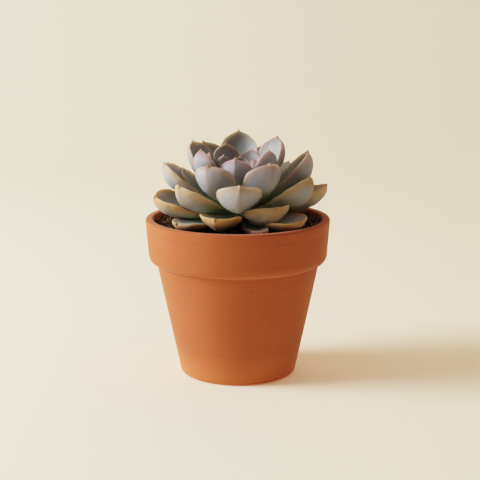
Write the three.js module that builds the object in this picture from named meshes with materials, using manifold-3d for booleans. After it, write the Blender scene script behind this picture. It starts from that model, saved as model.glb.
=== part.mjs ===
// A potted rosette succulent: thick, pointed, spoon-shaped leaves spiral up a short
// stem, which is rooted in soil in a plain clay pot with a deep collar and a drain
// hole. Millimetres, +Z up. The pot stands on Z = 0 and its axis is the Z axis.

import * as THREE from 'three';
import { mergeVertices } from 'three/addons/utils/BufferGeometryUtils.js';
import Module from 'manifold-3d';

const wasm = await Module();
wasm.setup();

// Space left between two pieces that touch.
const GAP = 0.3;

// Pot.
const POT_HEIGHT = 94.5;
const RIM_RADIUS = 55;
const RIM_ROUNDING = 1.6;
const MOUTH_RADIUS = 50.3;
const COLLAR_HEIGHT = 26.5;
const COLLAR_FOOT_RADIUS = 53.5;
const COLLAR_ROUNDING = 6.5;
const BODY_TOP_RADIUS = 48.2;
const FOOT_RADIUS = 34.3;
const FOOT_ROUNDING = 3.3;
const FLOOR_THICKNESS = 6;
const FLOOR_RADIUS = 30;
const FLOOR_FILLET = 4;
const DRAIN_RADIUS = 6;

// Soil: dished, higher where it meets the wall than under the leaves.
const SOIL_EDGE_HEIGHT = 91.3;
const SOIL_MIDDLE_HEIGHT = 89.4;
const SOIL_UNEVENNESS = 0.35;

// Plant frame: its origin is on the pot's axis, near the top of the soil.
const PLANT_HEIGHT = 90;
const STEM_RADIUS = 7;
const STEM_ROOT = 12;
const STEM_DOME_START = 6;
const STEM_DOME_HEIGHT = 20;

// Leaf shape shared by every leaf. Fractions run from 0 at the base to 1 at the tip,
// or are shares of the leaf's own width or thickness.
const LEAF_THICKNESS = 4;
const LEAF_TOP_SHARE = 0.3;
const BASE_WIDTH = 0.24;
const WIDEST_AT = 0.7;
const KEEL = 0.55;
const MUCRO = 1.5;
const MUCRO_UPTURN = 0.25;
const LAST_RING = 0.985;

// Facets along and around a leaf, and around the turned pieces.
const LEAF_STATIONS = 8;
const LEAF_AROUND = 10;
const TURNED_SEGMENTS = 40;

const CLAY = { color: 0xb4653a, roughness: 0.85, metalness: 0 };
const EARTH = { color: 0x35261b, roughness: 1, metalness: 0 };
const STEM_GREEN = { color: 0x6f7a58, roughness: 0.7, metalness: 0 };

// The rosette, from the oldest ring at the soil to the buds at the centre. A ring holds
// the usual values of its leaves, and a leaf lists what differs on it.
//   turn    degrees around the pot from +X
//   lift    mean slope of the midrib in degrees
//   length  of the midrib; width across the shoulders
//   curl    how many degrees the midrib bends up from base to tip
//   cup     depth of the spoon as a share of the half width
//   dip     how far the tip stays down in the spoon's trough: 0 not at all, 1 fully
//   point   how pointed the end is: 0.5 a round arch, above that a pointed one
//   roll    degrees of twist about the midrib
//   base    height on the stem, in the plant's frame
const RINGS = [
  {
    name: 'low',
    usual: {
      lift: 5, length: 42, width: 24, curl: 13, cup: 0.3, dip: 0.6, point: 0.5, roll: 0, base: 5.5,
    },
    color: 0x9a9470,
    leaves: [
      { turn: -141, lift: 2, length: 38.5, cup: 0.2, base: 6 },
      { turn: -106, lift: 10.5, length: 41.5, curl: 9, cup: 0.35, dip: 0.7, roll: -1, base: 7 },
      { turn: -73, lift: 2, length: 39.5, width: 14, base: 4 },
      { turn: -45, length: 44, width: 25, curl: 15, dip: 0.7, roll: 6, base: 7 },
      { turn: 32, lift: 6 },
      { turn: 66 },
      { turn: 103 },
      { turn: 142, lift: 6 },
    ],
  },
  {
    name: 'outer',
    usual: {
      lift: 22, length: 44, width: 25, curl: 16, cup: 0.45, dip: 0.4, point: 0.6, roll: 0, base: 7.5,
    },
    color: 0xa69c84,
    leaves: [
      { turn: -160, lift: 20, length: 45.5, width: 29, curl: 12, dip: 0.6, roll: -12 },
      { turn: -140, lift: 27, length: 41, width: 24.5, dip: 0.2, roll: -5, base: 10 },
      { turn: -59, lift: 18, length: 37.5, width: 27, curl: 22, dip: 0.5, point: 0.5, roll: 0, base: 8 },
      { turn: -21, lift: 31.5, width: 27, curl: 23, cup: 0.45, dip: 0.2, point: 0.45, roll: -3, base: 8.5 },
      { turn: 0, length: 48, curl: 12, cup: 0.4 },
      { turn: 42, lift: 24 },
      { turn: 80 },
      { turn: 120 },
      { turn: 150, lift: 14, length: 42, base: 6.5 },
    ],
  },
  {
    name: 'middle',
    usual: {
      lift: 40, length: 44, width: 25, curl: 18, cup: 0.45, dip: 0.3, point: 0.6, roll: 0, base: 10.5,
    },
    color: 0xb0a6a2,
    leaves: [
      { turn: 180, length: 45.5, curl: 10, dip: 0.4, point: 0.5, roll: -3, base: 9 },
      { turn: -89, lift: 29, length: 42, width: 26, curl: 28, dip: 0.5, point: 0.5, base: 12 },
      { turn: 14, lift: 42.5, length: 47.5, width: 25, curl: 23, cup: 0.6, dip: 0.2, roll: -8, base: 11 },
      { turn: 46, lift: 32.5, width: 22, base: 10 },
      { turn: 104, lift: 42 },
      { turn: 167, lift: 41.5, length: 36, curl: 22, dip: 0.1, roll: 4, base: 9 },
    ],
  },
  {
    name: 'upper',
    usual: {
      lift: 56, length: 40, width: 25, curl: 18, cup: 0.45, dip: 0.4, point: 0.6, roll: 0, base: 14.5,
    },
    color: 0xb3a7ab,
    leaves: [
      { turn: -152, lift: 60.5, length: 35.5, width: 21, cup: 0.4, dip: 0.3, base: 15.5 },
      { turn: -124, lift: 51.5, length: 35, curl: 24, cup: 0.5, dip: 0.5, point: 0.5, roll: 4, base: 13 },
      { turn: -54, lift: 50, length: 36, curl: 22, cup: 0.5, point: 0.5, base: 13.5 },
      { turn: 31, lift: 61.5, length: 41, dip: 0.3, point: 0.65, roll: -2, base: 15 },
      { turn: 64, lift: 52, length: 38, dip: 0.3, base: 13 },
      { turn: 89, lift: 61.5, length: 43.5, width: 23, curl: 20, dip: 0.1, point: 0.75 },
      { turn: 133, lift: 55, width: 26.5, dip: 0.3, roll: -2 },
      { turn: 156, lift: 57.5, curl: 16, dip: 0.5, roll: -3, base: 15.5 },
    ],
  },
  {
    name: 'inner',
    usual: {
      lift: 66, length: 28, width: 19, curl: 28, cup: 0.45, dip: 0.3, point: 0.6, roll: 0, base: 18.5,
    },
    color: 0xb09ba6,
    leaves: [
      { turn: -173, length: 27 },
      { turn: -95, lift: 62, length: 26, width: 20, point: 0.85, base: 19.5 },
      { turn: -30, lift: 64, length: 32, curl: 26, dip: 0.4, base: 17.5 },
      { turn: 59, lift: 70.5, length: 26, width: 16, dip: 0.4, point: 0.8, base: 19 },
      { turn: 119, lift: 71, length: 29.5, width: 18, point: 0.8, base: 19 },
    ],
  },
  {
    name: 'bud',
    usual: {
      lift: 74, length: 17, width: 12, curl: 20, cup: 0.45, dip: 0.2, point: 0.65, roll: 0, base: 22.5,
    },
    color: 0xb898a8,
    leaves: [
      { turn: -140, lift: 77, length: 14, width: 10, base: 23.5 },
      { turn: -60, lift: 77, length: 14, width: 10, base: 23.5 },
      { turn: 10 },
      { turn: 80, base: 23 },
      { turn: 150, lift: 72, length: 19, width: 13 },
    ],
  },
  {
    name: 'heart',
    usual: {
      lift: 84, length: 9, width: 7, curl: 16, cup: 0.4, dip: 0.2, point: 0.65, roll: 0, base: 24.5,
    },
    color: 0xc09cae,
    leaves: [
      { turn: -100 },
      { turn: -15 },
      { turn: 50, length: 10 },
      { turn: 125, length: 11 },
    ],
  },
];

// Eases from 0 to 1 as x goes from start to end.
function ease(start, end, x) {
  return THREE.MathUtils.smoothstep(x, start, end);
}

// A closed turned body: the profile is (radius, height) around the Z axis.
function turned(points) {
  const geometry = new THREE.LatheGeometry(points, TURNED_SEGMENTS);
  return geometry.rotateX(Math.PI / 2);
}

function solidOf(geometry) {
  const bare = geometry.clone();
  bare.deleteAttribute('normal');
  bare.deleteAttribute('uv');
  const merged = mergeVertices(bare);
  return new wasm.Manifold(new wasm.Mesh({
    numProp: 3,
    vertProperties: new Float32Array(merged.attributes.position.array),
    triVerts: new Uint32Array(merged.index.array),
  }));
}

function geometryOf(solid) {
  const mesh = solid.getMesh();
  const geometry = new THREE.BufferGeometry();
  geometry.setAttribute('position', new THREE.BufferAttribute(mesh.vertProperties, 3));
  geometry.setIndex(new THREE.BufferAttribute(mesh.triVerts, 1));
  geometry.computeVertexNormals();
  return geometry;
}

// Radius of the pot's inner wall at a height: a straight taper from mouth to floor.
function innerRadius(height) {
  const climb = (height - FLOOR_THICKNESS) / (POT_HEIGHT - FLOOR_THICKNESS);
  return FLOOR_RADIUS + (MOUTH_RADIUS - FLOOR_RADIUS) * climb;
}

function potGeometry() {
  const collarFoot = POT_HEIGHT - COLLAR_HEIGHT;
  const outline = new THREE.Path();
  outline.moveTo(DRAIN_RADIUS, 0);
  outline.lineTo(FOOT_RADIUS - FOOT_ROUNDING, 0);
  outline.quadraticCurveTo(FOOT_RADIUS, 0, FOOT_RADIUS + 0.6, FOOT_ROUNDING);
  // Body, the small hollow under the collar, and the collar's rounded lower edge.
  outline.lineTo(BODY_TOP_RADIUS, collarFoot - 2);
  outline.quadraticCurveTo(BODY_TOP_RADIUS + 0.1, collarFoot, BODY_TOP_RADIUS + 1.2, collarFoot);
  outline.quadraticCurveTo(
    COLLAR_FOOT_RADIUS, collarFoot + 0.6, COLLAR_FOOT_RADIUS, collarFoot + COLLAR_ROUNDING,
  );
  // Collar wall and the rounded lip.
  outline.lineTo(RIM_RADIUS, POT_HEIGHT - RIM_ROUNDING);
  outline.quadraticCurveTo(RIM_RADIUS, POT_HEIGHT, RIM_RADIUS - RIM_ROUNDING, POT_HEIGHT);
  outline.lineTo(MOUTH_RADIUS + RIM_ROUNDING, POT_HEIGHT);
  outline.quadraticCurveTo(MOUTH_RADIUS, POT_HEIGHT, MOUTH_RADIUS, POT_HEIGHT - RIM_ROUNDING);
  // Inner wall, floor and drain hole.
  const filletTop = FLOOR_THICKNESS + FLOOR_FILLET;
  outline.lineTo(innerRadius(filletTop), filletTop);
  outline.quadraticCurveTo(
    FLOOR_RADIUS, FLOOR_THICKNESS, FLOOR_RADIUS - FLOOR_FILLET, FLOOR_THICKNESS,
  );
  outline.lineTo(DRAIN_RADIUS, FLOOR_THICKNESS);
  outline.lineTo(DRAIN_RADIUS, 0);
  return turned(outline.getPoints(3));
}

function soilGeometry() {
  const socketRadius = STEM_RADIUS + GAP;
  const socketFloor = PLANT_HEIGHT - STEM_ROOT - GAP;
  const bottom = FLOOR_THICKNESS + GAP;
  const filletTop = bottom + FLOOR_FILLET;
  const edgeRadius = innerRadius(SOIL_EDGE_HEIGHT) - 2 * GAP;
  const outline = new THREE.Path();
  outline.moveTo(0, bottom);
  outline.lineTo(FLOOR_RADIUS - FLOOR_FILLET - GAP, bottom);
  outline.lineTo(innerRadius(filletTop) - 2 * GAP, filletTop);
  outline.lineTo(edgeRadius, SOIL_EDGE_HEIGHT);
  outline.bezierCurveTo(
    edgeRadius * 0.8, SOIL_EDGE_HEIGHT - 0.8,
    edgeRadius * 0.6, SOIL_MIDDLE_HEIGHT,
    socketRadius, SOIL_MIDDLE_HEIGHT,
  );
  outline.lineTo(socketRadius, socketFloor);
  outline.lineTo(0, socketFloor);
  const geometry = turned(outline.getPoints(5));
  // Low swells in the top face, dying away at the wall and around the stem.
  const points = geometry.attributes.position;
  for (let i = 0; i < points.count; i += 1) {
    const x = points.getX(i);
    const y = points.getY(i);
    const z = points.getZ(i);
    const radius = Math.hypot(x, y);
    const onTop = z > SOIL_MIDDLE_HEIGHT - 0.5 ? 1 : 0;
    const fade = ease(socketRadius, 14, radius) * (1 - ease(edgeRadius - 6, edgeRadius, radius));
    const swell = Math.sin(x / 7 + 1) * Math.cos(y / 6);
    points.setZ(i, z + onTop * fade * SOIL_UNEVENNESS * swell);
  }
  return geometry;
}

function stemRadius(height) {
  const climb = Math.max(height - STEM_DOME_START, 0) / STEM_DOME_HEIGHT;
  return STEM_RADIUS * Math.sqrt(Math.max(1 - climb * climb, 0));
}

// The stem in the plant's frame, grown outwards by a margin: a stub that stands in the
// soil and ends in a dome.
function stemGeometry(margin) {
  const outline = [
    new THREE.Vector2(0, -STEM_ROOT - margin),
    new THREE.Vector2(STEM_RADIUS + margin, -STEM_ROOT - margin),
  ];
  const steps = 6;
  for (let i = 0; i < steps; i += 1) {
    const height = STEM_DOME_START + STEM_DOME_HEIGHT * Math.sin((i / steps) * (Math.PI / 2));
    outline.push(new THREE.Vector2(stemRadius(height) + margin, height));
  }
  outline.push(new THREE.Vector2(0, STEM_DOME_START + STEM_DOME_HEIGHT + margin));
  return turned(outline);
}

// Half the width of the leaf's trough at a fraction along it: it widens from a narrow base
// to broad shoulders near the tip.
function troughWidth(leaf, along) {
  return (leaf.width / 2) * (BASE_WIDTH + (1 - BASE_WIDTH) * ease(0, WIDEST_AT, along));
}

// Half the leaf's own width: past the shoulders it closes in an arch.
function halfWidth(leaf, along) {
  const past = Math.max(along - WIDEST_AT, 0) / (1 - WIDEST_AT);
  return troughWidth(leaf, along) * (1 - past ** 2.4) ** leaf.point;
}

function thickness(along) {
  const fill = 0.6 + 0.4 * ease(0, 0.4, along);
  const past = Math.max(along - 0.6, 0) / 0.4;
  return LEAF_THICKNESS * fill * (1 - 0.5 * past ** 2.5);
}

// Midrib: an arc in the leaf's upright plane, which bends up by the leaf's curl.
function midrib(leaf, along) {
  const start = THREE.MathUtils.degToRad(leaf.lift - leaf.curl / 2);
  const bend = THREE.MathUtils.degToRad(leaf.curl);
  const slope = start + bend * along;
  return {
    slope,
    out: stemRadius(leaf.base) + GAP + (leaf.length * (Math.sin(slope) - Math.sin(start))) / bend,
    up: leaf.base + (leaf.length * (Math.cos(start) - Math.cos(slope))) / bend,
  };
}

// A point given across the leaf and along its normal from a place on the midrib.
function onLeaf(leaf, rib, across, normal) {
  const roll = THREE.MathUtils.degToRad(leaf.roll);
  const side = across * Math.cos(roll) - normal * Math.sin(roll);
  const off = across * Math.sin(roll) + normal * Math.cos(roll);
  const point = new THREE.Vector3(
    rib.out - off * Math.sin(rib.slope), side, rib.up + off * Math.cos(rib.slope),
  );
  return point.applyAxisAngle(new THREE.Vector3(0, 0, 1), THREE.MathUtils.degToRad(leaf.turn));
}

// One leaf, grown outwards by a margin: rings of points around the midrib, closed by a
// point at the base and by the sharp little tip. The edges stay on the midrib's arc and
// the belly hangs below it, thickest along the keel.
function leafGeometry(leaf, margin) {
  const points = [];
  for (let station = 0; station < LEAF_STATIONS; station += 1) {
    const along = LAST_RING * (1 - (1 - station / (LEAF_STATIONS - 1)) ** 1.6);
    const rib = midrib(leaf, along);
    const half = halfWidth(leaf, along);
    const trough = troughWidth(leaf, along);
    const depth = thickness(along);
    for (let i = 0; i < LEAF_AROUND; i += 1) {
      const angle = (i / LEAF_AROUND) * 2 * Math.PI;
      const share = Math.cos(angle);
      const cup = leaf.cup * ease(0, 0.4, along);
      const own = half * (1 - share * share);
      const sunk = trough * (1 - ((half * share) / trough) ** 2);
      const bowl = cup * (own + leaf.dip * (sunk - own));
      const face = Math.abs(Math.sin(angle)) ** 0.6;
      const keel = 1 + KEEL * ease(0.3, 0.8, along) * (1 - Math.abs(share)) ** 1.2;
      const above = LEAF_TOP_SHARE * depth;
      const below = (1 - LEAF_TOP_SHARE) * depth * keel;
      const skin = Math.sin(angle) > 0 ? above * face : -below * face;
      // The margin points away from the middle of the section, turned with the bowl.
      const steepness = 2 * cup * share * (1 - leaf.dip * (1 - half / trough));
      const outwards = angle + Math.atan(steepness);
      const across = half * share + margin * Math.cos(outwards);
      const normal = skin - bowl + margin * Math.sin(outwards);
      points.push(onLeaf(leaf, rib, across, normal));
    }
  }
  const rib = midrib(leaf, 1);
  const upturn = rib.slope + MUCRO_UPTURN;
  const reach = MUCRO + margin;
  const drop = leaf.dip * leaf.cup * troughWidth(leaf, 1);
  const tip = {
    slope: rib.slope,
    out: rib.out + reach * Math.cos(upturn) + drop * Math.sin(rib.slope),
    up: rib.up + reach * Math.sin(upturn) - drop * Math.cos(rib.slope),
  };
  points.push(onLeaf(leaf, midrib(leaf, 0), 0, 0));
  points.push(onLeaf(leaf, tip, 0, 0));

  const base = points.length - 2;
  const index = [];
  for (let i = 0; i < LEAF_AROUND; i += 1) {
    const next = (i + 1) % LEAF_AROUND;
    for (let station = 0; station < LEAF_STATIONS - 1; station += 1) {
      const here = station * LEAF_AROUND;
      const there = here + LEAF_AROUND;
      index.push(here + i, here + next, there + next);
      index.push(here + i, there + next, there + i);
    }
    const last = (LEAF_STATIONS - 1) * LEAF_AROUND;
    index.push(base, next, i);
    index.push(base + 1, last + i, last + next);
  }
  const geometry = new THREE.BufferGeometry().setFromPoints(points);
  geometry.setIndex(index);
  return geometry;
}

function boxOf(solid) {
  const box = solid.boundingBox();
  return new THREE.Box3(new THREE.Vector3(...box.min), new THREE.Vector3(...box.max));
}

// The solid without what lies inside the cutters; only its largest piece is kept.
function trimmed(solid, cutters) {
  let rest = solid;
  for (const cutter of cutters) {
    if (boxOf(rest).intersectsBox(cutter.box)) {
      rest = rest.subtract(cutter.solid);
    }
  }
  const pieces = rest.decompose();
  pieces.sort((a, b) => b.volume() - a.volume());
  return pieces[0];
}

// A body that takes its place out of the older leaves it meets.
function cutterFrom(geometry) {
  const solid = solidOf(geometry);
  return { solid, box: boxOf(solid) };
}

function piece(name, geometry, look) {
  const mesh = new THREE.Mesh(geometry, new THREE.MeshStandardMaterial(look));
  mesh.name = name;
  return mesh;
}

const object = new THREE.Group();
object.add(piece('pot', potGeometry(), CLAY));
object.add(piece('soil', soilGeometry(), EARTH));

const plant = new THREE.Group();
plant.position.z = PLANT_HEIGHT;
object.add(plant);
plant.add(piece('stem', stemGeometry(0), STEM_GREEN));

const leaves = [];
for (const ring of RINGS) {
  ring.leaves.forEach((own, i) => {
    leaves.push({ ...ring.usual, ...own, name: `leaf_${ring.name}_${i + 1}`, color: ring.color });
  });
}

// Young leaves sit higher on the stem and keep their whole shape; an older leaf is pressed
// in where it meets a younger one, the stem or the soil.
const cutters = [
  cutterFrom(soilGeometry().translate(0, 0, GAP - PLANT_HEIGHT)),
  cutterFrom(stemGeometry(GAP)),
];
leaves.sort((a, b) => b.base - a.base);
for (const leaf of leaves) {
  const solid = trimmed(solidOf(leafGeometry(leaf, 0)), cutters);
  plant.add(piece(leaf.name, geometryOf(solid), { color: leaf.color, roughness: 0.6, metalness: 0 }));
  cutters.push(cutterFrom(leafGeometry(leaf, GAP)));
}

export default object;
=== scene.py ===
# %% [markdown]
# # A potted rosette succulent
# The object is a houseplant: a rosette of thick, waxy, pointed leaves on a short stem, rooted
# in soil in a plain clay pot. The lesson builds the pot and the soil as turned bodies, then
# one rule for a leaf, and then every leaf from that rule with its own numbers.
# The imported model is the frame: every piece here stands where its solid stands, in metres.

# %% Load the frame
import math

import bpy
import numpy as np
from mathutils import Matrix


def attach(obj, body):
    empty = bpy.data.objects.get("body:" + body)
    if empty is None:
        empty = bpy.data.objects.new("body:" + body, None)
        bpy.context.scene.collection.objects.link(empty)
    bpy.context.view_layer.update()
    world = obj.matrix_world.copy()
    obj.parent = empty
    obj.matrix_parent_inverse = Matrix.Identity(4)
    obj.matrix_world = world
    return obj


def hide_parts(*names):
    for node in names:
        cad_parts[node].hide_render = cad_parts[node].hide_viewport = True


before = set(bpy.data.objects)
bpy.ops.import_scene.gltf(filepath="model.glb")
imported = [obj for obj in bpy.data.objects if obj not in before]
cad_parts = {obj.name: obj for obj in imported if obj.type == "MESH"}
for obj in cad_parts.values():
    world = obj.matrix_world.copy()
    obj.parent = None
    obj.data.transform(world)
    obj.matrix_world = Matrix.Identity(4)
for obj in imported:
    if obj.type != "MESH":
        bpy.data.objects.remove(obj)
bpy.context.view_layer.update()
MM = 0.001

# %% [markdown]
# ## Sums made of sockets
# A leaf's shape and a clay wall's colour are both formulas. Blender evaluates them as node
# trees, and a tree of Math nodes is hard to read as code. So one small class wraps an output
# socket: ordinary sums written with it add the Math nodes. A second class adds any other node.


# %% Wires and graphs
class Wire:
    """An output socket that takes part in ordinary sums."""

    def __init__(self, graph, socket):
        self.graph = graph
        self.socket = socket

    def __add__(self, other):
        return self.graph.math("ADD", self, other)

    def __radd__(self, other):
        return self.graph.math("ADD", other, self)

    def __sub__(self, other):
        return self.graph.math("SUBTRACT", self, other)

    def __rsub__(self, other):
        return self.graph.math("SUBTRACT", other, self)

    def __mul__(self, other):
        return self.graph.math("MULTIPLY", self, other)

    def __rmul__(self, other):
        return self.graph.math("MULTIPLY", other, self)

    def __truediv__(self, other):
        return self.graph.math("DIVIDE", self, other)

    def __rtruediv__(self, other):
        return self.graph.math("DIVIDE", other, self)

    def __pow__(self, other):
        return self.graph.math("POWER", self, other)

    def __abs__(self):
        return self.graph.math("ABSOLUTE", self)


class Graph:
    """A node tree that is written as code."""

    def __init__(self, tree):
        self.tree = tree

    def node(self, kind, settings=None, inputs=None, output=0):
        """Adds a node: its settings first, then the values or links of its sockets."""
        made = self.tree.nodes.new(kind)
        for name, value in (settings or {}).items():
            if name == "stops":
                set_stops(made.color_ramp, value)
            else:
                setattr(made, name, value)
        for name, value in (inputs or {}).items():
            if isinstance(value, Wire):
                self.tree.links.new(value.socket, made.inputs[name])
            else:
                made.inputs[name].default_value = value
        return Wire(self, made.outputs[output])

    def math(self, operation, *values):
        return self.node("ShaderNodeMath", {"operation": operation}, dict(enumerate(values)))

    def ease(self, start, end, value):
        """Runs smoothly from 0 at start to 1 at end."""
        settings = {"interpolation_type": "SMOOTHSTEP"}
        return self.node(
            "ShaderNodeMapRange", settings, {"Value": value, "From Min": start, "From Max": end}
        )

    def clamp(self, value):
        return self.node("ShaderNodeClamp", None, {"Value": value})

    def mix(self, share, first, second):
        """A colour between two colours."""
        settings = {"data_type": "RGBA"}
        return self.node("ShaderNodeMix", settings, {0: share, 6: first, 7: second}, output=2)

    def vector(self, x, y, z):
        return self.node("ShaderNodeCombineXYZ", None, {"X": x, "Y": y, "Z": z})

    def noise(self, place, scale, detail=2.0, roughness=0.5, seed=0.0):
        """Smooth noise around 0.5."""
        settings = {"noise_dimensions": "4D"}
        inputs = {"Vector": place, "W": seed, "Scale": scale, "Detail": detail}
        inputs["Roughness"] = roughness
        return self.node("ShaderNodeTexNoise", settings, inputs)


def set_stops(ramp, stops):
    while len(ramp.elements) > 1:
        ramp.elements.remove(ramp.elements[-1])
    ramp.elements[0].position = stops[0][0]
    ramp.elements[0].color = stops[0][1]
    for place, colour in stops[1:]:
        ramp.elements.new(place).color = colour


def colour(text):
    """A web colour such as c8bfc0, as Blender's linear red, green, blue and alpha."""
    channels = [int(text[i : i + 2], 16) / 255 for i in (0, 2, 4)]
    return tuple(
        c / 12.92 if c <= 0.04045 else ((c + 0.055) / 1.055) ** 2.4 for c in channels
    ) + (1.0,)


print("wires and graphs are ready")

# %% [markdown]
# ## Camera, floor and light
# The pot is looked down on a little from the front with a long lens, as a person sees it on a
# table across a room. The floor curves up into the backdrop so that no edge shows. One broad
# window-like lamp on the left gives the round body its light side and its long soft shadow;
# the pale surroundings fill the rest.

# %% Camera
CAMERA_PLACE = (0.0012, -0.866, 0.2608)
CAMERA_DIP = 11.76
LENS = 111.0

scene = bpy.context.scene
camera_data = bpy.data.cameras.new("camera")
camera_data.lens = LENS
camera_data.sensor_width = 36.0
camera = bpy.data.objects.new("camera", camera_data)
camera.location = CAMERA_PLACE
camera.rotation_euler = (math.radians(90 - CAMERA_DIP), 0, 0)
scene.collection.objects.link(camera)
scene.camera = camera

# Film answers light softly: shadows deepen and bright parts roll off.
FILM = ((0.02, 0.026), (0.05, 0.0885), (0.1, 0.206), (0.2, 0.4165), (0.35, 0.6286),
        (0.5, 0.756), (0.7, 0.8567))
view = scene.view_settings
view.view_transform = "Standard"
view.use_curve_mapping = True
view.curve_mapping.white_level = (2.0, 2.0, 2.0)
film = view.curve_mapping.curves[3].points
film[-1].location = (1.0, 0.938)
for light_in, light_out in FILM:
    film.new(light_in, light_out)
view.curve_mapping.update()
print("camera lens in mm:", LENS)


# %% Floor and backdrop
def new_object(name, mesh):
    made = bpy.data.objects.new(name, mesh)
    scene.collection.objects.link(made)
    return made


def new_material(name):
    material = bpy.data.materials.new(name)
    material.use_nodes = True
    return material, Graph(material.node_tree), material.node_tree.nodes["Principled BSDF"]


FLOOR_HALF = 3.0
SWEEP_START = 0.75
SWEEP_RADIUS = 0.6
BACKDROP_HEIGHT = 2.5
SWEEP_STEPS = 24
FLOOR_PAINT = (0.93, 0.97, 0.81, 1.0)
FLOOR_GLOW = (0.21, 0.090, 0.045, 1.0)

sweep = [(-FLOOR_HALF, 0.0), (SWEEP_START, 0.0)]
for step in range(1, SWEEP_STEPS + 1):
    turn = math.radians(90 * step / SWEEP_STEPS)
    sweep.append(
        (SWEEP_START + SWEEP_RADIUS * math.sin(turn), SWEEP_RADIUS * (1 - math.cos(turn)))
    )
sweep.append((SWEEP_START + SWEEP_RADIUS, BACKDROP_HEIGHT))
floor_points = [(x, y, z) for y, z in sweep for x in (-FLOOR_HALF, FLOOR_HALF)]
floor_faces = [(2 * i, 2 * i + 1, 2 * i + 3, 2 * i + 2) for i in range(len(sweep) - 1)]
floor_mesh = bpy.data.meshes.new("floor")
floor_mesh.from_pydata(floor_points, [], floor_faces)
floor_mesh.shade_smooth()
floor = new_object("floor", floor_mesh)
floor_material, _, floor_shader = new_material("floor")
floor_shader.inputs["Base Color"].default_value = FLOOR_PAINT
floor_shader.inputs["Roughness"].default_value = 0.9
floor_shader.inputs["Specular IOR Level"].default_value = 0.1
floor_shader.inputs["Emission Color"].default_value = FLOOR_GLOW
floor_shader.inputs["Emission Strength"].default_value = 1.0
floor_mesh.materials.append(floor_material)
print("floor faces:", len(floor_faces))


# %% Lights
def area_lamp(name, place, target, size, power, tint):
    data = bpy.data.lights.new(name, "AREA")
    data.size = size
    data.energy = power
    data.color = colour(tint)[:3]
    lamp = bpy.data.objects.new(name, data)
    lamp.location = place
    towards = [t - p for t, p in zip(target, place, strict=True)]
    flat = math.hypot(towards[0], towards[1])
    lamp.rotation_euler = (
        math.atan2(flat, -towards[2]),
        0,
        math.atan2(towards[1], towards[0]) - math.pi / 2,
    )
    scene.collection.objects.link(lamp)


KEY_PLACE = (-1.363, -0.143, 0.68)
KEY_TARGET = (0, 0, 0.07)
KEY_SIZE = 0.70
KEY_POWER = 30.2
DARK_ROOM = 0.05
PALE_CEILING = 0.50
area_lamp("key", KEY_PLACE, KEY_TARGET, KEY_SIZE, KEY_POWER, "ffffff")
world = bpy.data.worlds.new("surroundings")
world.use_nodes = True
scene.world = world
g = Graph(world.node_tree)
background = world.node_tree.nodes["Background"]
background.inputs["Color"].default_value = colour("fff0e2")
way = g.node("ShaderNodeSeparateXYZ", None, {0: g.node("ShaderNodeTexCoord")})
ways = way.socket.node.outputs
high_or_behind = Wire(g, ways[1]) * 0.6 + Wire(g, ways[2]) * 0.8
room = DARK_ROOM + (PALE_CEILING - DARK_ROOM) * g.ease(-0.5, 0.6, high_or_behind)
g.tree.links.new(room.socket, background.inputs["Strength"])

# %% [markdown]
# ## The clay pot
# A plain pot is pressed in a mould and turned: a tapered cup with a deep collar, one wall
# about 5 mm thick, and a hole in the floor. A turned body is a profile carried around an
# axis, so the profile is drawn once, as short straight and curved runs, and spun in code.
# The same profile could be a curve with a Screw modifier; code keeps the point spacing even,
# so that the slight unevenness of the wall can be pressed into the mesh afterwards.

# %% Turned bodies
SEGMENTS = 224


def curved(start, control, end, steps=8):
    """Points of a quadratic curve, without its first point."""
    shares = [(i + 1) / steps for i in range(steps)]
    return [
        tuple(
            (1 - t) ** 2 * a + 2 * t * (1 - t) * b + t * t * c
            for a, b, c in zip(start, control, end, strict=True)
        )
        for t in shares
    ]


def straight(start, end, steps):
    """Points of a straight run, without its first point."""
    return [
        tuple(a + (b - a) * (i + 1) / steps for a, b in zip(start, end, strict=True))
        for i in range(steps)
    ]


def turned(name, profile, closed, press=None):
    """Spins a profile of (radius, height) in mm. A profile that isn't closed on itself starts
    and ends on the axis. press moves the points, which are given in mm, as an array."""
    rows = profile if closed else profile[1:-1]
    turns = np.arange(SEGMENTS) * 2 * math.pi / SEGMENTS
    radii = np.array([r for r, _ in rows])[:, None]
    heights = np.array([z for _, z in rows])[:, None] + 0 * turns
    points = np.stack([radii * np.cos(turns), radii * np.sin(turns), heights], -1)
    points = points.reshape(-1, 3)
    faces = []
    for i in range(len(rows) if closed else len(rows) - 1):
        here = i * SEGMENTS
        there = (i + 1) % len(rows) * SEGMENTS
        for k in range(SEGMENTS):
            n = (k + 1) % SEGMENTS
            faces.append((here + k, here + n, there + n, there + k))
    if not closed:
        last = len(points) - SEGMENTS
        ends = np.array([(0, 0, profile[0][1]), (0, 0, profile[-1][1])])
        points = np.vstack([points, ends])
        for k in range(SEGMENTS):
            n = (k + 1) % SEGMENTS
            faces.append((len(points) - 2, n, k))
            faces.append((len(points) - 1, last + k, last + n))
    if press is not None:
        points = press(points)
    mesh = bpy.data.meshes.new(name)
    mesh.from_pydata((points * MM).tolist(), [], faces)
    mesh.shade_smooth()
    return mesh


def waves(x, y, z, seed):
    """A few crossed waves, from about -1 to 1, that never repeat within the object."""
    rng = np.random.default_rng(seed)
    total = 0
    for _ in range(6):
        way = rng.normal(size=3)
        way /= np.linalg.norm(way)
        total = total + np.sin((way[0] * x + way[1] * y + way[2] * z) + rng.uniform(0, 6.28))
    return total / 3


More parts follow.
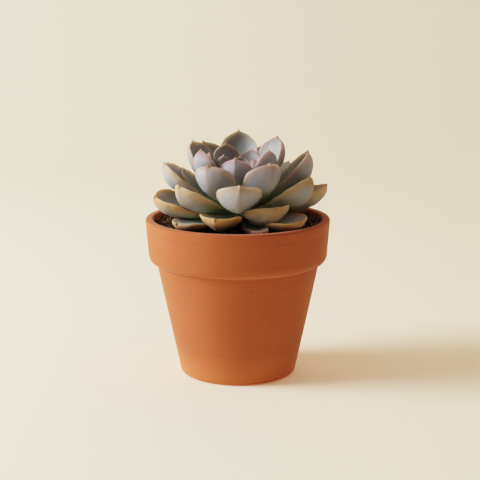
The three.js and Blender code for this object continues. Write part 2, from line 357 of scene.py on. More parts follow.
# %% Pot
POT_HEIGHT = 94.5
RIM_RADIUS = 55.0
RIM_ROUNDING = 1.6
MOUTH_RADIUS = 50.3
COLLAR_FOOT = 68.0
COLLAR_FOOT_RADIUS = 53.5
COLLAR_ROUNDING = 6.5
BODY_TOP_RADIUS = 48.2
FOOT_RADIUS = 34.3
FOOT_ROUNDING = 3.3
FLOOR_THICKNESS = 6.0
FLOOR_RADIUS = 30.0
FLOOR_FILLET = 4.0
DRAIN_RADIUS = 6.0
TURNING_LINE = 88.0
LINE_DEPTH = 0.0026
LINE_WIDTH = 0.55
OUT_OF_ROUND = 0.002


def inner_radius(height):
    climb = (height - FLOOR_THICKNESS) / (POT_HEIGHT - FLOOR_THICKNESS)
    return FLOOR_RADIUS + (MOUTH_RADIUS - FLOOR_RADIUS) * climb


def run(profile, end, steps):
    profile += straight(profile[-1], end, steps)


def bend(profile, control, end, steps=8):
    profile += curved(profile[-1], control, end, steps)


pot_profile = [(DRAIN_RADIUS, 0.0)]
run(pot_profile, (FOOT_RADIUS - FOOT_ROUNDING, 0.0), 6)
bend(pot_profile, (FOOT_RADIUS, 0.0), (FOOT_RADIUS + 0.6, FOOT_ROUNDING))
run(pot_profile, (BODY_TOP_RADIUS, COLLAR_FOOT - 2), 40)
bend(pot_profile, (BODY_TOP_RADIUS + 0.1, COLLAR_FOOT), (BODY_TOP_RADIUS + 1.2, COLLAR_FOOT))
bend(
    pot_profile,
    (COLLAR_FOOT_RADIUS, COLLAR_FOOT + 0.6),
    (COLLAR_FOOT_RADIUS, COLLAR_FOOT + COLLAR_ROUNDING),
    12,
)
run(pot_profile, (RIM_RADIUS, POT_HEIGHT - RIM_ROUNDING), 60)
bend(pot_profile, (RIM_RADIUS, POT_HEIGHT), (RIM_RADIUS - RIM_ROUNDING, POT_HEIGHT))
run(pot_profile, (MOUTH_RADIUS + RIM_ROUNDING, POT_HEIGHT), 3)
bend(pot_profile, (MOUTH_RADIUS, POT_HEIGHT), (MOUTH_RADIUS, POT_HEIGHT - RIM_ROUNDING))
fillet_top = FLOOR_THICKNESS + FLOOR_FILLET
run(pot_profile, (inner_radius(fillet_top), fillet_top), 30)
bend(
    pot_profile,
    (FLOOR_RADIUS, FLOOR_THICKNESS),
    (FLOOR_RADIUS - FLOOR_FILLET, FLOOR_THICKNESS),
)
run(pot_profile, (DRAIN_RADIUS, FLOOR_THICKNESS), 5)
run(pot_profile, (DRAIN_RADIUS, 0.0), 3)
pot_profile.pop()


def press_clay(points):
    """The wall of a pressed pot is round to a fraction of a millimetre, not perfectly."""
    x, y, z = points.T
    inwards = 1 - OUT_OF_ROUND * waves(x / 14, y / 14, z / 20, 3) - 0.0022
    on_outside = np.hypot(x, y) > MOUTH_RADIUS + 2
    inwards -= on_outside * LINE_DEPTH * np.exp(-(((z - TURNING_LINE) / LINE_WIDTH) ** 2))
    points = points.copy()
    points[:, 0] *= inwards
    points[:, 1] *= inwards
    return points


pot = new_object("clay_pot", turned("clay_pot", pot_profile, True, press_clay))
print("pot faces:", len(pot.data.polygons))

# %% [markdown]
# ### Fired clay
# Unglazed clay is a warm orange with slow patches from the kiln, fine sand in the body, faint
# lines left by the mould, small pits where grains fell out, and a little pale bloom of salts.
# All of it comes from the place on the pot, so it is the same from every side. The foot is also
# painted lighter, as painted bounce light from the floor.

# %% Clay material
PIT_SCALE = 260

clay, g, shader = new_material("fired_clay")
place = g.node("ShaderNodeTexCoord", output=3)
height = g.node("ShaderNodeSeparateXYZ", None, {0: place}, output=2)
patches = g.noise(place, 28, 3)
grain = g.noise(place, 900, 3, 0.6)
sand = g.noise(place, 2600, 1)
streaks = g.noise(g.node("ShaderNodeVectorMath", {"operation": "MULTIPLY"},
                         {0: place, 1: (1, 1, 26)}), 22, 2)
pit_field = g.node("ShaderNodeTexVoronoi", {"feature": "F1"},
                   {"Vector": place, "Scale": PIT_SCALE})
pit_luck = g.node("ShaderNodeTexVoronoi", {"feature": "F1"},
                  {"Vector": place, "Scale": PIT_SCALE}, output=1)
luck = g.node("ShaderNodeSeparateColor", None, {0: pit_luck})
pits = (1 - g.ease(0.05, 0.13, pit_field)) * g.math("GREATER_THAN", luck, 0.93)
tone = g.clamp(0.5 + (patches - 0.5) * 1.1 + (streaks - 0.5) * 0.5)
body = g.mix(tone, colour("a95c37"), colour("b66b45"))
body = g.mix(g.ease(0.55, 0.80, grain) * 0.14, body, colour("d09a76"))
body = g.mix(g.ease(0.60, 0.80, sand) * 0.14, body, colour("8c4a2f"))
# The lowest two centimetres are painted lighter: painted bounce light from the floor on the foot.
painted_floor_bounce = 1 - g.ease(0.004, 0.022, height)
body = g.mix(painted_floor_bounce * 0.45, body, colour("d58556"))
# The pits are painted dark as well: painted shade inside each hollow.
body = g.mix(pits * 0.6, body, colour("6b3824"))
g.tree.links.new(body.socket, shader.inputs["Base Color"])
shader.inputs["Specular IOR Level"].default_value = 0.3
shader.inputs["Sheen Weight"].default_value = 0.25
shader.inputs["Sheen Roughness"].default_value = 0.4
shader.inputs["Sheen Tint"].default_value = colour("ffe9d6")
rough = 0.80 + (grain - 0.5) * 0.15
g.tree.links.new(rough.socket, shader.inputs["Roughness"])
relief = (grain - 0.5) * 0.5 + (sand - 0.5) * 0.25 + (streaks - 0.5) * 1.1 - pits * 1.6
bump = g.node("ShaderNodeBump", None, {"Height": relief, "Distance": 0.00022, "Strength": 0.8})
g.tree.links.new(bump.socket, shader.inputs["Normal"])
pot.data.materials.append(clay)
print("clay nodes:", len(clay.node_tree.nodes))

# %% [markdown]
# ## The soil
# The pot is filled to just under its lip with dark potting mix. It is one turned body with a
# socket for the stem, and its top is pressed into lumps. On real mix the eye sees separate
# crumbs, so Geometry Nodes scatter small rounded grains over the top face: a rule that says
# how many, how big and how light, with a fixed seed.

# %% Soil body
GAP = 0.3
SOIL_EDGE_HEIGHT = 91.3
SOIL_MIDDLE_HEIGHT = 89.4
PLANT_HEIGHT = 90.0
STEM_RADIUS = 7.0
STEM_ROOT = 12.0
SOIL_RINGS = 60

socket_radius = STEM_RADIUS + GAP
socket_floor = PLANT_HEIGHT - STEM_ROOT - GAP
soil_bottom = FLOOR_THICKNESS + GAP
soil_fillet = soil_bottom + FLOOR_FILLET
edge_radius = inner_radius(SOIL_EDGE_HEIGHT) - 0.15
soil_profile = [(0.0, soil_bottom), (FLOOR_RADIUS - FLOOR_FILLET - GAP, soil_bottom)]
run(soil_profile, (inner_radius(soil_fillet) - GAP, soil_fillet), 4)
run(soil_profile, (edge_radius, SOIL_EDGE_HEIGHT), 12)
for i in range(1, SOIL_RINGS + 1):
    share = i / SOIL_RINGS
    level = SOIL_MIDDLE_HEIGHT + (SOIL_EDGE_HEIGHT - SOIL_MIDDLE_HEIGHT) * (1 - share) ** 1.8
    soil_profile.append((edge_radius + (socket_radius - edge_radius) * share, level))
run(soil_profile, (socket_radius, socket_floor), 6)
soil_profile.append((0.0, socket_floor))


def press_soil(points):
    x, y, z = points.T
    radius = np.hypot(x, y)
    on_top = (z > SOIL_MIDDLE_HEIGHT - 0.3) & (radius > socket_radius + 0.5)
    lumps = 0.45 * waves(x / 2.6, y / 2.6, z, 5) + 0.35 * waves(x / 1.1, y / 1.1, z, 8)
    fade = np.clip((edge_radius + 0.4 - radius) / 1.5, 0.25, 1)
    points = points.copy()
    points[:, 2] += on_top * fade * lumps
    return points


soil = new_object("soil_body", turned("soil", soil_profile, False, press_soil))
print("soil faces:", len(soil.data.polygons))

# %% Soil material
GRAIN_SCALE = 700

earth, g, shader = new_material("potting_mix")
place = g.node("ShaderNodeTexCoord", output=3)
grains = g.node("ShaderNodeTexVoronoi", {"feature": "F1"},
                {"Vector": place, "Scale": GRAIN_SCALE})
grain_tone = g.node("ShaderNodeTexVoronoi", {"feature": "F1"},
                    {"Vector": place, "Scale": GRAIN_SCALE}, output=1)
luck = g.node("ShaderNodeSeparateColor", None, {0: grain_tone})
damp = g.noise(place, 60, 3)
ground = g.mix(g.clamp(damp), colour("2a1e15"), colour("4d3929"))
ground = g.mix(g.ease(0.80, 0.95, luck) * 0.7, ground, colour("7a5c3f"))
g.tree.links.new(ground.socket, shader.inputs["Base Color"])
shader.inputs["Roughness"].default_value = 0.95
shader.inputs["Specular IOR Level"].default_value = 0.2
bump = g.node("ShaderNodeBump", None, {"Height": 1 - grains, "Distance": 0.0006})
g.tree.links.new(bump.socket, shader.inputs["Normal"])
soil.data.materials.append(earth)
print("soil nodes:", len(earth.node_tree.nodes))


# %% A plain mesh from a tree
def tree_with_inputs(name, inputs):
    """A Geometry Nodes tree with named inputs, and the wires that bring them in."""
    tree = bpy.data.node_groups.new(name, "GeometryNodeTree")
    for label, kind in inputs:
        tree.interface.new_socket(name=label, in_out="INPUT", socket_type="NodeSocket" + kind)
    tree.interface.new_socket(name="Geometry", in_out="OUTPUT", socket_type="NodeSocketGeometry")
    graph = Graph(tree)
    source = tree.nodes.new("NodeGroupInput")
    wires = {label: Wire(graph, source.outputs[label]) for label, _ in inputs}
    return graph, wires


def finish_tree(graph, shape, material):
    """Every tree ends the same way: real faces, one material, out."""
    real = graph.node("GeometryNodeRealizeInstances", None, {0: shape})
    painted = graph.node("GeometryNodeSetMaterial", None, {"Geometry": real, "Material": material})
    out = graph.tree.nodes.new("NodeGroupOutput")
    graph.tree.links.new(painted.socket, out.inputs[0])
    return graph.tree


def grown(name, tree, values, mesh=None):
    """Runs a tree once with these values and keeps the result as a plain mesh."""
    seed = new_object(name + "_seed", mesh or bpy.data.meshes.new(name + "_seed"))
    modifier = seed.modifiers.new("grow", "NODES")
    modifier.node_group = tree
    for item in tree.interface.items_tree:
        if item.in_out == "INPUT" and item.name in values:
            modifier[item.identifier] = values[item.name]
    seed.update_tag()
    depsgraph = bpy.context.evaluated_depsgraph_get()
    result = bpy.data.meshes.new_from_object(seed.evaluated_get(depsgraph))
    result.name = name
    bpy.data.objects.remove(seed)
    return new_object(name, result)


# %% Grain material
crumb, g, shader = new_material("soil_crumb")
place = g.node("ShaderNodeTexCoord", output=3)
tone = g.node("ShaderNodeAttribute", {"attribute_name": "tone"}, output=2)
speckle = g.noise(place, 1800, 2)
grain_colour = g.node(
    "ShaderNodeValToRGB",
    {
        "stops": [
            (0.0, colour("2a1e15")),
            (0.35, colour("4a3624")),
            (0.65, colour("6f523a")),
            (0.88, colour("9a7b57")),
            (1.0, colour("cbb08a")),
        ]
    },
    {0: tone},
)
shade = g.mix(g.clamp(speckle) * 0.4, grain_colour, colour("2a1d13"))
g.tree.links.new(shade.socket, shader.inputs["Base Color"])
shader.inputs["Roughness"].default_value = 0.9
shader.inputs["Specular IOR Level"].default_value = 0.2
bump = g.node("ShaderNodeBump", None, {"Height": speckle, "Distance": 0.0002})
g.tree.links.new(bump.socket, shader.inputs["Normal"])
print("crumb nodes:", len(crumb.node_tree.nodes))

# %% Grain tree
g, ins = tree_with_inputs(
    "crumbs",
    [("Geometry", "Geometry"), ("Density", "Float"), ("Smallest", "Float"),
     ("Largest", "Float"), ("Seed", "Int")],
)
spot = g.node("GeometryNodeInputPosition")
x_y_z = g.node("ShaderNodeSeparateXYZ", None, {0: spot})
node = x_y_z.socket.node
up = Wire(g, node.outputs[2])
out_from_axis = g.math(
    "SQRT", Wire(g, node.outputs[0]) ** 2 + Wire(g, node.outputs[1]) ** 2
)
facing = g.node("GeometryNodeInputNormal")
facing_up = g.node("ShaderNodeSeparateXYZ", None, {0: facing}, output=2)
on_top = g.math("GREATER_THAN", up, (SOIL_MIDDLE_HEIGHT - 1.5) * MM) * g.math(
    "GREATER_THAN", out_from_axis, 0.012
) * g.math("GREATER_THAN", facing_up, 0.2)
points = g.node(
    "GeometryNodeDistributePointsOnFaces",
    {"distribute_method": "RANDOM"},
    {"Mesh": ins["Geometry"], "Selection": on_top, "Density": ins["Density"],
     "Seed": ins["Seed"]},
)
ball = g.node("GeometryNodeMeshIcoSphere", None, {"Radius": 1.0, "Subdivisions": 1})
ball_spot = g.node("GeometryNodeInputPosition")
dent = g.node("ShaderNodeTexNoise", {"noise_dimensions": "3D"},
              {"Vector": ball_spot, "Scale": 1.3, "Detail": 1.0})
dented = g.node("ShaderNodeVectorMath", {"operation": "SCALE"},
                {0: ball_spot, "Scale": 0.55 + dent * 0.9})
lump = g.node("GeometryNodeSetPosition", None, {"Geometry": ball, "Position": dented})
size = g.node("FunctionNodeRandomValue", {"data_type": "FLOAT"},
              {2: ins["Smallest"], 3: ins["Largest"], "Seed": 11}, output=1)
stretch = g.node("FunctionNodeRandomValue", {"data_type": "FLOAT_VECTOR"},
                 {0: (0.6, 0.6, 0.45), 1: (1.25, 1.25, 0.9), "Seed": 12})
scale = g.node("ShaderNodeVectorMath", {"operation": "SCALE"}, {0: stretch, "Scale": size})
turn = g.node("FunctionNodeRandomValue", {"data_type": "FLOAT_VECTOR"},
              {0: (-0.6, -0.6, 0.0), 1: (0.6, 0.6, 6.28), "Seed": 13})
rotation = g.node("FunctionNodeEulerToRotation", None, {0: turn})
scattered = g.node("GeometryNodeInstanceOnPoints", None,
                   {"Points": points, "Instance": lump, "Rotation": rotation, "Scale": scale})
shade = g.node("FunctionNodeRandomValue", {"data_type": "FLOAT"},
               {2: 0.0, 3: 1.0, "Seed": 14}, output=1)
toned = g.node("GeometryNodeStoreNamedAttribute",
               {"data_type": "FLOAT", "domain": "INSTANCE"},
               {"Geometry": scattered, "Name": "tone", "Value": shade})
crumb_tree = finish_tree(g, toned, crumb)
values = {"Density": 600000.0, "Smallest": 0.4 * MM, "Largest": 1.0 * MM, "Seed": 4}
crumbs = grown("soil_crumbs", crumb_tree, values, soil.data.copy())
print("crumb faces:", len(crumbs.data.polygons))

# %% [markdown]
# ## The stem
# The stem is a short green stub that narrows to a dome, hidden by its leaves. It is a turned
# body too, roughened a little by the scars of old leaves.

# %% Stem
STEM_DOME_START = 6.0
STEM_DOME_HEIGHT = 20.0
DOME_RINGS = 24


def stem_radius(up):
    climb = max(up - STEM_DOME_START, 0) / STEM_DOME_HEIGHT
    return STEM_RADIUS * math.sqrt(max(1 - climb * climb, 0))


stem_profile = [(0.0, PLANT_HEIGHT - STEM_ROOT), (STEM_RADIUS - 0.6, PLANT_HEIGHT - STEM_ROOT)]
bend(stem_profile, (STEM_RADIUS, PLANT_HEIGHT - STEM_ROOT),
     (STEM_RADIUS, PLANT_HEIGHT - STEM_ROOT + 0.6), 3)
run(stem_profile, (STEM_RADIUS, PLANT_HEIGHT + STEM_DOME_START), 14)
for i in range(1, DOME_RINGS):
    up_stem = STEM_DOME_START + STEM_DOME_HEIGHT * math.sin(i / DOME_RINGS * math.pi / 2)
    stem_profile.append((stem_radius(up_stem), PLANT_HEIGHT + up_stem))
stem_profile.append((0.0, PLANT_HEIGHT + STEM_DOME_START + STEM_DOME_HEIGHT))


def press_stem(points):
    x, y, z = points.T
    inwards = 1 - 0.03 * (1 + waves(x / 1.5, y / 1.5, z / 1.2, 17)) / 2
    points = points.copy()
    points[:, 0] *= inwards
    points[:, 1] *= inwards
    return points


stem = new_object("stem_stub", turned("stem", stem_profile, False, press_stem))
green, g, shader = new_material("stem_skin")
place = g.node("ShaderNodeTexCoord", output=3)
height = g.node("ShaderNodeSeparateXYZ", None, {0: place}, output=2)
scars = g.noise(place, 420, 3)
woody = 1 - g.ease(0.093, 0.104, height)
skin = g.mix(woody, colour("8d9a6c"), colour("6e5a3e"))
skin = g.mix(g.ease(0.5, 0.75, scars) * 0.6, skin, colour("4d4a2c"))
g.tree.links.new(skin.socket, shader.inputs["Base Color"])
shader.inputs["Roughness"].default_value = 0.7
bump = g.node("ShaderNodeBump", None, {"Height": scars, "Distance": 0.0004})
g.tree.links.new(bump.socket, shader.inputs["Normal"])
stem.data.materials.append(green)
print("stem faces:", len(stem.data.polygons))

# %% [markdown]
# ## The rule for a leaf
# Every leaf of a rosette has the same form at a different size and slope: a narrow foot, broad
# shoulders near the end, a blunt arch that runs in to a sharp little tip, edges lifted like a
# spoon's, and a keel underneath. Such a shape could be sculpted once and copied, but then each
# copy would have to be bent by hand. Here a grid is the raw sheet: one way across it runs
# around the leaf, the other way runs along it, and a formula gives each point its place.
# The tree's inputs are the leaf's own sizes, so one tree makes them all. It also writes
# where each point is on its leaf, which the waxy skin's colours follow.

# %% Leaf tree
AROUND = 64
ALONG = 84
BASE_WIDTH = 0.24
WIDEST_AT = 0.70
TOP_SHARE = 0.30
KEEL = 0.80
MUCRO = 1.2
TIP_CROWDING = 1.7
SHOULDER_BEND = 2.4
NUB_WIDTH = 0.036
DEG = math.pi / 180

g, ins = tree_with_inputs(
    "leaf",
    [(label, "Float") for label in (
        "Turn", "Lift", "Length", "Width", "Curl", "Cup", "Dip", "Point", "Roll",
        "Base Height", "Base Radius", "Thickness", "Waviness", "Age", "Flush", "Tint",
    )] + [("Skin", "Material")],
)
sheet = g.node(
    "GeometryNodeMeshGrid", None,
    {"Size X": 1.0, "Size Y": 1.0, "Vertices X": AROUND + 1, "Vertices Y": ALONG + 1},
)
flat = g.node("GeometryNodeInputPosition")
flat_x = g.node("ShaderNodeSeparateXYZ", None, {0: flat})
around = (flat_x + 0.5) * (2 * math.pi)
row = Wire(g, flat_x.socket.node.outputs[1]) + 0.5

# Distance along the leaf: points lie closer together towards the tip.
reach = ins["Length"] + MUCRO
distance = reach * (1 - g.math("POWER", g.clamp(1 - row), TIP_CROWDING))
share = distance / ins["Length"]
across_share = g.math("COSINE", around)
face_share = g.math("SINE", around)

# Outline: a swelling foot, an arch past the shoulders, and the little tip.
past = g.clamp((share - WIDEST_AT) / (1 - WIDEST_AT))
arch = g.clamp(1 - past**SHOULDER_BEND) ** ins["Point"]
trough = ins["Width"] * 0.5 * (BASE_WIDTH + (1 - BASE_WIDTH) * g.ease(0.0, WIDEST_AT, share))
nub = g.math("SQRT", g.clamp((reach - distance) / 1.6)) * ins["Width"] * NUB_WIDTH
rounded_foot = g.math("SQRT", g.clamp(1 - g.clamp(1 - distance / 1.5) ** 2))
half = g.math("SMOOTH_MAX", trough * arch, nub, ins["Width"] * 0.07) * rounded_foot
half = half * g.math("SQRT", g.clamp((reach - distance) * 2))

# Thickness, spoon and keel.
thin = g.clamp((share - 0.6) / 0.4) ** 2.5
depth = ins["Thickness"] * (0.6 + 0.4 * g.ease(0.0, 0.4, share)) * (1 - 0.5 * thin)
depth = g.math("SMOOTH_MIN", depth * rounded_foot, half * 1.7, 0.5)
depth = g.math("MAXIMUM", depth, 0.0)
cup = ins["Cup"] * g.ease(0.0, 0.4, share)
own_bowl = half * (1 - across_share**2)
sunk_bowl = trough * (1 - (half * across_share / trough) ** 2)
bowl = cup * (own_bowl + ins["Dip"] * (sunk_bowl - own_bowl)) * rounded_foot
lens = abs(face_share) ** 0.55
upper = g.math("GREATER_THAN", face_share, 0.0)
ridge = 1 + KEEL * g.ease(0.3, 0.85, share) * (1 - abs(across_share)) ** 1.2
skin_offset = lens * depth * (upper * TOP_SHARE - (1 - upper) * (1 - TOP_SHARE) * ridge)
hook = g.ease(0.90, 1.04, share) * 0.5

# Slow unevenness, the same on both sides of the seam because it follows the place.
own_place = g.vector(half * across_share, skin_offset - bowl, distance)
drift = g.node("ShaderNodeTexNoise", {"noise_dimensions": "4D"},
               {"Vector": own_place, "W": ins["Tint"] * 37, "Scale": 0.11, "Detail": 1.5},
               output=1)
drift_x = g.node("ShaderNodeSeparateXYZ", None, {0: drift})
drift_y = Wire(g, drift_x.socket.node.outputs[1])
loose = ins["Waviness"] * g.ease(0.1, 0.5, share)
across = half * across_share + (drift_x - 0.5) * loose
normal = skin_offset - bowl + hook + (drift_y - 0.5) * loose

# The midrib is an arc that bends up by the leaf's curl.
start = (ins["Lift"] - ins["Curl"] / 2) * DEG
arc = ins["Curl"] * DEG
slope = start + arc * share
out = ins["Base Radius"] + ins["Length"] * (g.math("SINE", slope) - g.math("SINE", start)) / arc
lift = ins["Base Height"] + ins["Length"] * (
    g.math("COSINE", start) - g.math("COSINE", slope)
) / arc
roll = ins["Roll"] * DEG
side = across * g.math("COSINE", roll) - normal * g.math("SINE", roll)
off = across * g.math("SINE", roll) + normal * g.math("COSINE", roll)
away = out - off * g.math("SINE", slope)
height = lift + off * g.math("COSINE", slope)
turn = ins["Turn"] * DEG
x = away * g.math("COSINE", turn) - side * g.math("SINE", turn)
y = away * g.math("SINE", turn) + side * g.math("COSINE", turn)
final = g.vector(x * MM, y * MM, height * MM)

# How far a point is from the leaf's edge, in mm: sideways and towards the tip together.
from_side = half * (1 - abs(across_share))
from_tip = (1 - past) * (1 - WIDEST_AT) * ins["Length"] * (1 - across_share**2)
rim_distance = from_side * from_tip / (from_side + from_tip + 0.001)

shape = sheet
for label, value in (
    ("along", share), ("across", across_share), ("face", face_share), ("rim", rim_distance),
    ("age", ins["Age"]), ("flush", ins["Flush"]), ("tint", ins["Tint"]),
):
    shape = g.node("GeometryNodeStoreNamedAttribute", {"data_type": "FLOAT", "domain": "POINT"},
                   {"Geometry": shape, "Name": label, "Value": value})
shape = g.node("GeometryNodeSetPosition", None, {"Geometry": shape, "Position": final})
shape = g.node("GeometryNodeMergeByDistance", None, {"Geometry": shape, "Distance": 2e-6})
shape = g.node("GeometryNodeSetShadeSmooth", None, {"Geometry": shape})
leaf_tree = finish_tree(g, shape, ins["Skin"])
print("leaf tree nodes:", len(leaf_tree.nodes))

# %% [markdown]
# ### The waxy skin
# A thin powder of wax makes young leaves lilac-grey over a green and plum body. Edges and tips
# blush pink where the leaf is young and turn mustard and brown where it is old; the foot of
# a leaf stays green, and is painted paler as painted fill light where the low parts lie in shade.
# Rain and fingers rub the powder off in places. The material reads the place on the leaf and
# the leaf's age, so one skin fits them all.

# %% Leaf material
wax, g, shader = new_material("waxy_skin")


def read(label):
    return g.node("ShaderNodeAttribute", {"attribute_name": label}, output=2)


place = g.node("ShaderNodeTexCoord", output=3)
along, across_leaf, face, rim = read("along"), read("across"), read("face"), read("rim")
age, flush, tint = read("age"), read("flush"), read("tint")
slow = g.noise(place, 70, 3, 0.55, seed=2.0)
mottle = g.noise(place, 330, 4, 0.6, seed=5.0)
dust = g.noise(place, 1500, 3, 0.6, seed=9.0)
lengthways = g.vector(across_leaf * 2.2 + tint * 40, along * 0.4, tint * 17)
streaks = g.noise(lengthways, 4.0, 2, seed=3.0)
topside = g.ease(-0.15, 0.25, face)


def by_age(young, grown_up, old):
    stops = [(0.0, colour(young)), (0.45, colour(grown_up)), (1.0, colour(old))]
    return g.node("ShaderNodeValToRGB", {"stops": stops}, {0: age})


# The body of the leaf, and the green that is left at its foot and down its middle. Both foot
# colours are paler than that green: painted fill light on the low parts, which lie in shade.
under = by_age("9e9fa9", "9c9fa4", "969c88")
inner = by_age("95a5a0", "a3b1ab", "bcc4b2")
ground = g.mix(topside, under, inner)
green_foot_and_painted_fill = 1 - g.ease(0.32, 0.82, along + (slow - 0.5) * 0.25)
ground = g.mix(green_foot_and_painted_fill * 0.9, ground, colour("bccaac"))
ground = g.mix((1 - g.ease(0.10, 0.50, along)) * 0.5, ground, colour("a3ad74"))
lilac = topside * (1 - g.ease(2.0, 6.0, rim)) * 0.6
ground = g.mix(lilac, ground, colour("b5a9ae"))

# Sun and age turn the outer half tan, from the edge inwards, and mark the keel.
warm = g.clamp(age * 1.35 - 0.28 - g.ease(0.5, 7.0, rim) * 0.9 + (slow - 0.5) * 1.1)
warm = warm * g.ease(0.42, 0.80, along) * (1 - topside * 0.75)
ground = g.mix(warm * 0.75, ground, colour("ad8f5c"))
keel = (1 - g.ease(0.0, 0.26, abs(across_leaf))) * (1 - topside) * g.ease(0.50, 1.0, along)
ground = g.mix(keel * (0.32 + 0.5 * age), ground, colour("9f7044"))

# A thin line along the edge: pink on a leaf that still grows, olive and tan on the others.
line = 1 - g.ease(0.3, 1.1 + age * 1.1, rim + (mottle - 0.5) * 0.8)
line = line * g.ease(0.15, 0.55, along)
line_colour = g.mix(age, colour("b9ad84"), colour("b78f55"))
line_colour = g.mix(flush, line_colour, colour("c08f9c"))
ground = g.mix(line * (0.55 + age * 0.25), ground, line_colour)

# The powder of wax is wiped off in faint streaks.
powder = g.clamp(0.55 - age * 0.3 + (streaks - 0.5) * 1.1 + (slow - 0.5) * 0.5)
powder = powder * g.ease(0.25, 0.75, along) * (1 - line * 0.7) * (1 - topside * 0.4)
ground = g.mix(powder * 0.6, ground, colour("bab6be"))

# Corky scuffs and specks on the oldest leaves, and the dry brown tip.
scuff = g.ease(0.57, 0.70, mottle) * g.ease(0.4, 0.9, age) * g.ease(0.46, 0.58, slow)
ground = g.mix(scuff * 0.6, ground, colour("7d5f3c"))
tip_spot = g.ease(0.97, 1.03, along)
ground = g.mix(tip_spot * 0.7, ground, colour("a97a50"))
g.tree.links.new(ground.socket, shader.inputs["Base Color"])
gloss = 0.50 + powder * 0.25 + (dust - 0.5) * 0.1
g.tree.links.new(gloss.socket, shader.inputs["Roughness"])
shader.inputs["Specular IOR Level"].default_value = 0.35
shader.inputs["Subsurface Weight"].default_value = 0.5
shader.inputs["Subsurface Radius"].default_value = (1.0, 0.9, 0.6)
shader.inputs["Subsurface Scale"].default_value = 0.005
relief = (dust - 0.5) * 0.35 + (mottle - 0.5) * 0.5
bump = g.node("ShaderNodeBump", None, {"Height": relief, "Distance": 0.00018})
g.tree.links.new(bump.socket, shader.inputs["Normal"])
print("skin nodes:", len(wax.node_tree.nodes))

# %% [markdown]
# ## The rosette
# The rings run from the oldest leaves, which lie on the soil, to the buds at the heart. A ring
# gives its usual sizes and a leaf lists what differs on it, as a grower would describe it.
# turn is in degrees around the pot from +X; lift is the mean slope of the midrib and curl is
# how much it bends up; cup is the depth of the spoon; base is the height on the stem. Sizes
# are in millimetres.

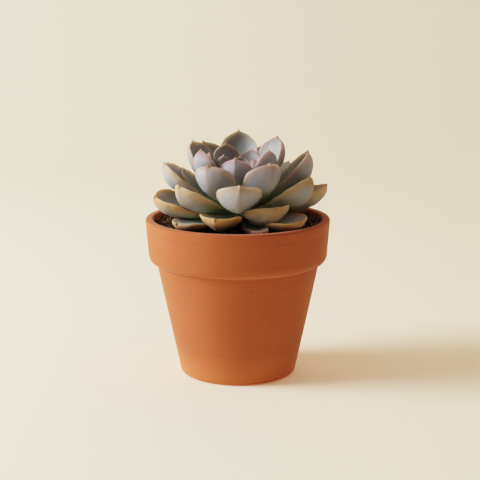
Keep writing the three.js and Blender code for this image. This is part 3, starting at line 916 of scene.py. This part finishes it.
# %% Rings
RINGS = [
    {
        "name": "low", "slot": "leaf_old",
        "usual": {"lift": 5, "length": 42, "width": 24, "curl": 13, "cup": 0.3, "dip": 0.6,
                  "point": 0.5, "roll": 0, "base": 5.5, "age": 1.0, "flush": 0.1},
        "leaves": [
            {"turn": -141, "lift": 2, "length": 38.5, "cup": 0.2, "base": 6, "age": 0.65},
            {"turn": -106, "lift": 10.5, "length": 41.5, "curl": 9, "cup": 0.35, "dip": 0.7,
             "roll": -1, "base": 7, "age": 1.0},
            {"turn": -73, "lift": 2, "length": 39.5, "width": 14, "base": 4, "age": 0.8,
             "flush": 0.6},
            {"turn": -45, "length": 44, "width": 25, "curl": 15, "dip": 0.7, "roll": 6,
             "base": 7, "age": 1.0},
            {"turn": 32, "lift": 6},
            {"turn": 66},
            {"turn": 103},
            {"turn": 142, "lift": 6},
        ],
    },
    {
        "name": "outer", "slot": "leaf_old",
        "usual": {"lift": 22, "length": 44, "width": 25, "curl": 16, "cup": 0.45, "dip": 0.4,
                  "point": 0.6, "roll": 0, "base": 7.5, "age": 0.75, "flush": 0.1},
        "leaves": [
            {"turn": -160, "lift": 20, "length": 45.5, "width": 29, "curl": 12, "dip": 0.6,
             "roll": -12, "age": 0.8},
            {"turn": -140, "lift": 27, "length": 41, "width": 24.5, "dip": 0.2, "roll": -5,
             "base": 10, "age": 0.62},
            {"turn": -59, "lift": 18, "length": 37.5, "width": 27, "curl": 22, "dip": 0.5,
             "point": 0.5, "roll": 0, "base": 8, "age": 0.8},
            {"turn": -21, "lift": 31.5, "width": 27, "curl": 23, "cup": 0.45, "dip": 0.2,
             "point": 0.45, "roll": -3, "base": 8.5, "age": 0.55},
            {"turn": 0, "length": 48, "curl": 12, "cup": 0.4, "age": 0.8},
            {"turn": 42, "lift": 24},
            {"turn": 80},
            {"turn": 120},
            {"turn": 150, "lift": 14, "length": 42, "base": 6.5},
        ],
    },
    {
        "name": "middle", "slot": "leaf_grown",
        "usual": {"lift": 40, "length": 44, "width": 25, "curl": 18, "cup": 0.45, "dip": 0.3,
                  "point": 0.6, "roll": 0, "base": 10.5, "age": 0.35, "flush": 0.3},
        "leaves": [
            {"turn": 180, "length": 45.5, "curl": 10, "dip": 0.4, "point": 0.5, "roll": -3,
             "base": 9, "age": 0.38},
            {"turn": -89, "lift": 29, "length": 42, "width": 26, "curl": 28, "dip": 0.5,
             "point": 0.5, "base": 12, "age": 0.3, "flush": 0.2},
            {"turn": 14, "lift": 42.5, "length": 47.5, "width": 25, "curl": 23, "cup": 0.6,
             "dip": 0.2, "roll": -8, "base": 11, "age": 0.15, "flush": 0.6},
            {"turn": 46, "lift": 32.5, "width": 22, "base": 10},
            {"turn": 104, "lift": 42},
            {"turn": 167, "lift": 41.5, "length": 36, "curl": 22, "dip": 0.1, "roll": 4,
             "base": 9},
        ],
    },
    {
        "name": "upper", "slot": "leaf_grown",
        "usual": {"lift": 56, "length": 40, "width": 25, "curl": 18, "cup": 0.45, "dip": 0.4,
                  "point": 0.6, "roll": 0, "base": 14.5, "age": 0.2, "flush": 0.5},
        "leaves": [
            {"turn": -152, "lift": 60.5, "length": 35.5, "width": 21, "cup": 0.4, "dip": 0.3,
             "base": 15.5, "age": 0.15, "flush": 0.8},
            {"turn": -124, "lift": 51.5, "length": 35, "curl": 24, "cup": 0.5, "dip": 0.5,
             "point": 0.5, "roll": 4, "base": 13, "age": 0.18},
            {"turn": -54, "lift": 50, "length": 36, "curl": 22, "cup": 0.5, "point": 0.5,
             "base": 13.5, "age": 0.15},
            {"turn": 31, "lift": 61.5, "length": 41, "dip": 0.3, "point": 0.65, "roll": -2,
             "base": 15, "age": 0.1, "flush": 0.7},
            {"turn": 64, "lift": 52, "length": 38, "dip": 0.3, "base": 13},
            {"turn": 89, "lift": 61.5, "length": 43.5, "width": 23, "curl": 20, "dip": 0.1,
             "point": 0.75, "age": 0.1, "flush": 0.3},
            {"turn": 133, "lift": 55, "width": 26.5, "dip": 0.3, "roll": -2},
            {"turn": 156, "lift": 57.5, "curl": 16, "dip": 0.5, "roll": -3, "base": 15.5,
             "age": 0.22},
        ],
    },
    {
        "name": "inner", "slot": "leaf_young",
        "usual": {"lift": 66, "length": 28, "width": 19, "curl": 28, "cup": 0.45, "dip": 0.3,
                  "point": 0.6, "roll": 0, "base": 18.5, "age": 0.1, "flush": 0.7},
        "leaves": [
            {"turn": -173, "length": 27},
            {"turn": -95, "lift": 62, "length": 26, "width": 20, "point": 0.85, "base": 19.5,
             "flush": 1.0},
            {"turn": -30, "lift": 64, "length": 32, "curl": 26, "dip": 0.4, "base": 17.5,
             "flush": 0.9},
            {"turn": 59, "lift": 70.5, "length": 26, "width": 16, "dip": 0.4, "point": 0.8,
             "base": 19},
            {"turn": 119, "lift": 71, "length": 29.5, "width": 18, "point": 0.8, "base": 19,
             "age": 0.15, "flush": 0.3},
        ],
    },
    {
        "name": "bud", "slot": "leaf_young",
        "usual": {"lift": 74, "length": 17, "width": 12, "curl": 20, "cup": 0.45, "dip": 0.2,
                  "point": 0.65, "roll": 0, "base": 22.5, "age": 0.0, "flush": 1.0,
                  "thickness": 3},
        "leaves": [
            {"turn": -140, "lift": 77, "length": 14, "width": 10, "base": 23.5},
            {"turn": -60, "lift": 77, "length": 14, "width": 10, "base": 23.5},
            {"turn": 10},
            {"turn": 80, "base": 23},
            {"turn": 150, "lift": 72, "length": 19, "width": 13},
        ],
    },
    {
        "name": "heart", "slot": "leaf_young",
        "usual": {"lift": 84, "length": 9, "width": 7, "curl": 16, "cup": 0.4, "dip": 0.2,
                  "point": 0.65, "roll": 0, "base": 24.5, "age": 0.0, "flush": 1.0,
                  "thickness": 2.4},
        "leaves": [
            {"turn": -100},
            {"turn": -15},
            {"turn": 50, "length": 10},
            {"turn": 125, "length": 11},
        ],
    },
]
print("leaves:", sum(len(ring["leaves"]) for ring in RINGS))

# %% Leaves
LEAF_LABELS = (
    "Turn", "Lift", "Length", "Width", "Curl", "Cup", "Dip", "Point", "Roll", "Thickness",
    "Age", "Flush",
)
rosette = []
tints = np.random.default_rng(21)
for ring in RINGS:
    for number, own in enumerate(ring["leaves"], 1):
        leaf = {"roll": 0.0, "thickness": 4.0, **ring["usual"], **own}
        values = {
            **{label: leaf[label.lower()] for label in LEAF_LABELS},
            "Base Height": PLANT_HEIGHT + leaf["base"],
            "Base Radius": stem_radius(leaf["base"]) - 0.3,
            "Waviness": leaf["width"] * 0.08,
            "Tint": tints.random(),
        }
        values = {label: float(value) for label, value in values.items()}
        node = f"leaf_{ring['name']}_{number}"
        piece = grown("blade_" + node[5:], leaf_tree, {**values, "Skin": wax})
        rosette.append((piece, node, ring["slot"]))
print("leaf faces:", sum(len(piece.data.polygons) for piece, _, _ in rosette))

# %% [markdown]
# ## Hand over
# Each piece rides on the one body of the part, and the imported solid that it stands for is
# hidden.

# %% Finish
for piece, nodes, slot in (
    (pot, ["pot"], "clay"),
    (soil, ["soil"], "soil"),
    (crumbs, [], "soil"),
    (stem, ["stem"], "stem"),
    *((piece, [node], slot) for piece, node, slot in rosette),
):
    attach(piece, "root")
    if nodes:
        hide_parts(*nodes)
